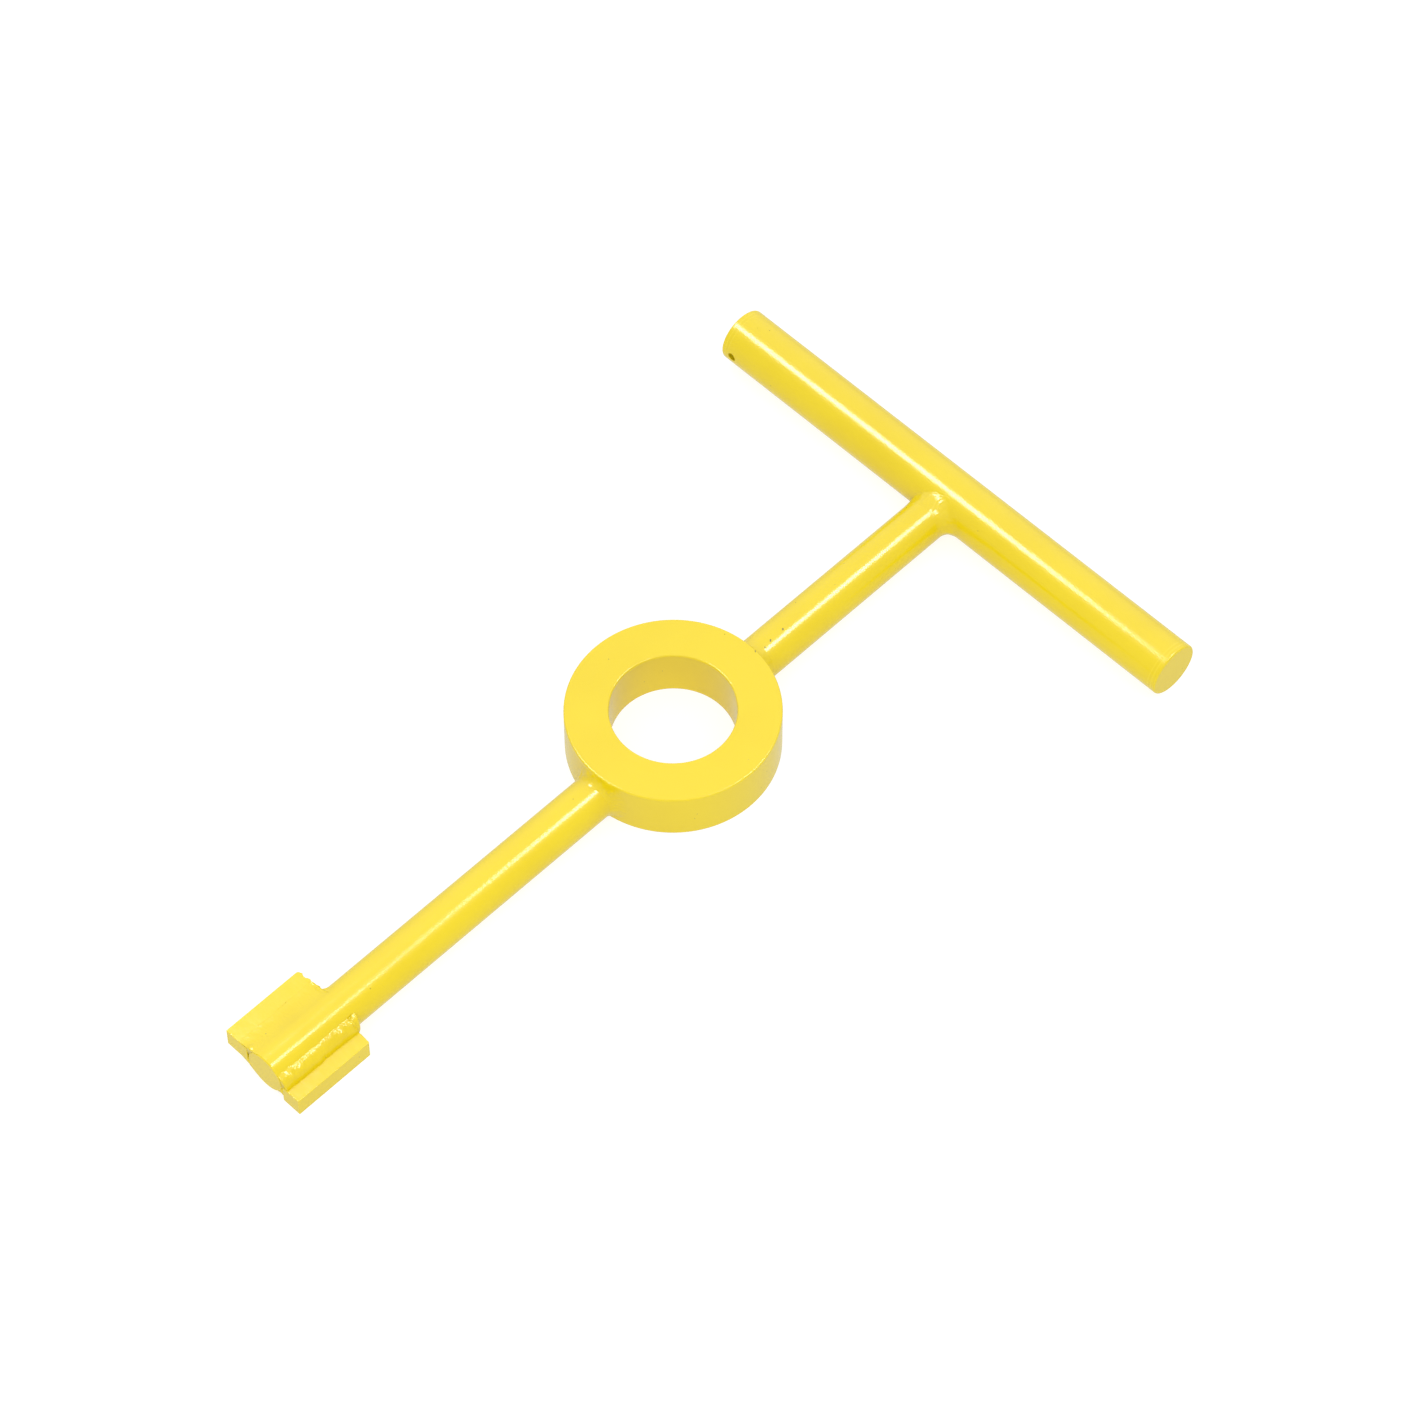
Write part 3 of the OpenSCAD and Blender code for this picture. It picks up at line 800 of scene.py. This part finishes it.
# A full bead follows the bar down this far before it swells out
DIP = 0.7 * MM
# The hidden root lies this far inside the bar's side. It is level with the bar's middle, but never
# further than its reach from the wing's face
ROOT_INSET = 1.5 * MM
ROOT_REACH = 3.0 * MM
# The end of a bead starts to close this far before the wing's rear
END_LEAD = 0.3 * MM


def seam_rows(wing_toe, wing_z, wing_out, bar_degrees, rear_y, run_out, seed, full=None):
    """Rows along the bar, from the tip to a rounded end just past the wing's rear.

    A hollow bead leaves both toes flush. A full one dips at the bar, then swells out to a brow that
    is given as a sideways and an upward distance from its toe on the wing."""
    rows = []
    for index in range(int((rear_y + run_out - TIP_GAP - tip_y) / ROW_GAP)):
        y = tip_y + TIP_GAP + index * ROW_GAP
        angle = math.radians(bar_degrees + 2.5 * wander(y, 5 * MM, seed))
        toe_b, out_b = on_bar(angle)
        toe_b.y = y
        toe_a = Vector((wing_toe + 0.45 * MM * wander(y, 4 * MM, seed + 1), y, wing_z))
        # The corner is where the wing's face meets the bar's tangent
        along_bar = Vector((out_b.z, 0, -out_b.x))
        corner = toe_b + along_bar * ((wing_z - toe_b.z) / along_bar.z)
        leans = None
        if full:
            leans = (toe_a + Vector((full[0], 0, full[1])), toe_b + along_bar * DIP)
        root = Vector((shank.across + math.copysign(shank.radius - ROOT_INSET, toe_a.x), y,
                       min(max(shank.up, wing_z - ROOT_REACH), wing_z + ROOT_REACH)))
        row = Row((toe_a, toe_b), (wing_out, out_b), corner, leans, root)
        # The end closes in a quarter ellipse
        past = max(0.0, (y - rear_y + END_LEAD) / (run_out + END_LEAD))
        rows.append(row.shrunk(math.sqrt(1 - past * past)))
    return rows


left_top = lay_bead("left_top_bead", seam_rows(
    left_low.x + 7.5 * MM, left_high.z, UP, 116, left_high.y, 1.0 * MM, seed=41),
    lumps=[((-8.5, -233.2, 4.8), 1.5, 0.7)])
freeze(left_top, 4, "left_wing_top_weld", ripple=0.02, lump=0.35, droplets=500.0)

left_under = lay_bead("left_under_bead", seam_rows(
    left_low.x + 8.5 * MM, left_low.z, -UP, 234, left_high.y, 1.0 * MM, seed=43))
freeze(left_under, 5, "left_wing_low_weld", ripple=0.06, lump=0.5)

right_top = lay_bead("right_top_bead", seam_rows(
    right_low.x + 3.0 * MM, right_high.z, UP, 37, right_high.y, 2.8 * MM, seed=47,
    full=(-0.8 * MM, 5.0 * MM)),
    lumps=[((10.4, -232.0, 2.1), 1.1, 0.5),
           ((11.5, -229.6, 1.0), 1.3, 0.6),
           ((9.8, -228.0, 2.5), 0.9, 0.5),
           ((10.9, -225.4, 1.6), 1.1, 0.5),
           ((11.0, -196.6, 1.6), 1.4, 0.8),
           ((9.8, -199.4, 2.5), 1.0, 0.6),
           ((11.4, -201.6, 1.2), 1.2, 0.5),
           ((9.9, -204.6, 2.4), 0.9, 0.4)])
freeze(right_top, 6, "right_wing_top_weld", ripple=0.05, lump=0.5)

# The bead under the right wing fills the V between the bar and the wing, from the bench's side
UNDER_HEIGHT = 3.6 * MM
under_z = table_z + UNDER_HEIGHT
under_angle = math.asin((under_z - shank.up) / shank.radius)
under_rows = []
for index in range(int((right_high.y - tip_y) / ROW_GAP) + 1):
    y = tip_y + TIP_GAP + index * ROW_GAP
    toe_b, out_b = on_bar(under_angle + math.radians(2.5 * wander(y, 5 * MM, 53)))
    toe_b.y = y
    toe_a = Vector((right_low.x, y, under_z + 0.2 * MM * wander(y, 4 * MM, 54)))
    corner = (toe_a + toe_b) / 2 + UP * 0.9 * MM
    root = Vector((right_low.x + 0.1 * MM, y, shank.up - 1 * MM))
    under_rows.append(Row((toe_a, toe_b), (Vector((-1, 0, 0)), out_b), corner, None, root))
right_under = lay_bead("right_under_bead", under_rows)
freeze(right_under, 7, "right_wing_low_weld", ripple=0.05, lump=0.3)


# %% Weld the heels


def heel_wall(rear_y):
    """The wing's rear face as a wall for a collar that turns round its corner."""
    return lambda x, z: (rear_y, Vector((0, 1, 0)))


left_heel = lay_bead("left_heel_bead", collar_rows(
    heel_wall(left_high.y - 0.5 * MM), 1,
    {126: 0.5, 132: 1.4, 141: 4.4, 150: 4.2, 180: 3.6, 202: 3.8},
    {126: 1.5, 132: 3.0, 141: 4.8, 160: 4.8, 180: 4.5, 202: 4.0}, seed=61, level=True, swell=0.3))
freeze(left_heel, 8, "left_heel_weld", ripple=0.05, lump=0.5)

right_heel = lay_bead("right_heel_bead", collar_rows(
    heel_wall(right_high.y - 0.5 * MM), 1,
    {-62: 6.6, -45: 4.6, -20: 3.4, 0: 3.2, 24: 2.8, 38: 0.9},
    {-62: 3.2, -45: 4.2, 0: 4.4, 24: 4.2, 38: 2.4}, seed=67, level=True, swell=0.3))
freeze(right_heel, 9, "right_heel_weld", ripple=0.05, lump=0.5)

# %% [markdown]
# ## The lip of the vent hole
#
# A closed tube needs a small hole, or the hot air inside would blow the last weld. The coat gathers
# round such a hole in a thin raised lip. The lip follows a path, the saddle where a round hole
# meets a round tube, so it is a Geometry Nodes sweep: a circle pushed back onto the tube's curve.

# %% Sweep the lip
VENT_RADIUS = 2.25 * MM
VENT_SETBACK = 3.2 * MM
LIP_RADIUS = 0.28 * MM

lip_tree, size = new_tree("vent_lip", {
    "Hole Radius": "Float", "Tube Radius": "Float", "Lip Radius": "Float", "Centre": "Vector",
    "Finish": "Material"})
path = add(lip_tree, "GeometryNodeCurvePrimitiveCircle", None,
           {"Radius": size["Hole Radius"], "Resolution": 48})
flat = add(lip_tree, "ShaderNodeSeparateXYZ", None,
           {0: add(lip_tree, "GeometryNodeInputPosition")})
squared = add(lip_tree, "ShaderNodeMath", {"operation": "MULTIPLY"},
              {0: flat.outputs["Y"], 1: flat.outputs["Y"]})
radius_squared = add(lip_tree, "ShaderNodeMath", {"operation": "MULTIPLY"},
                     {0: size["Tube Radius"], 1: size["Tube Radius"]})
inside = add(lip_tree, "ShaderNodeMath", {"operation": "SUBTRACT"},
             {0: radius_squared, 1: squared})
depth = add(lip_tree, "ShaderNodeMath", {"operation": "SQRT"}, {0: inside})
back = add(lip_tree, "ShaderNodeMath", {"operation": "MULTIPLY"}, {0: depth, 1: -1.0})
# The circle's X stays along the tube, its Y becomes height, and the tube's curve gives the depth
saddle = add(lip_tree, "ShaderNodeCombineXYZ", None,
             {"X": flat.outputs["X"], "Y": back, "Z": flat.outputs["Y"]})
placed = add(lip_tree, "ShaderNodeVectorMath", {"operation": "ADD"},
             {0: saddle, 1: size["Centre"]})
bent_path = add(lip_tree, "GeometryNodeSetPosition", None,
                {"Geometry": path, "Position": placed})
thread = add(lip_tree, "GeometryNodeCurvePrimitiveCircle", None,
             {"Radius": size["Lip Radius"], "Resolution": 12})
swept = add(lip_tree, "GeometryNodeCurveToMesh", None,
            {"Curve": bent_path, "Profile Curve": thread})
smooth = add(lip_tree, "GeometryNodeSetShadeSmooth", None, {"Geometry": swept})
end_tree(lip_tree, smooth.outputs["Geometry"], size["Finish"])

lip = new_piece("vent_hole_lip")
give_tree(lip, lip_tree, {
    "Hole Radius": VENT_RADIUS, "Tube Radius": handle.radius - 0.4 * LIP_RADIUS,
    "Lip Radius": LIP_RADIUS,
    "Centre": Vector((handle.low.x + VENT_SETBACK, handle.across, handle.up)), "Finish": plain_coat})
settle(lip, "powder_coat")

# %% [markdown]
# ## Measure the result
#
# The two boxes are printed, so that anyone can see that the looks have not changed the size.

# %% Measure and finish
for name, bounds in (("design", cad_bounds), ("looks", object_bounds())):
    print(name, [[round(c / MM, 2) for c in corner] for corner in bounds])
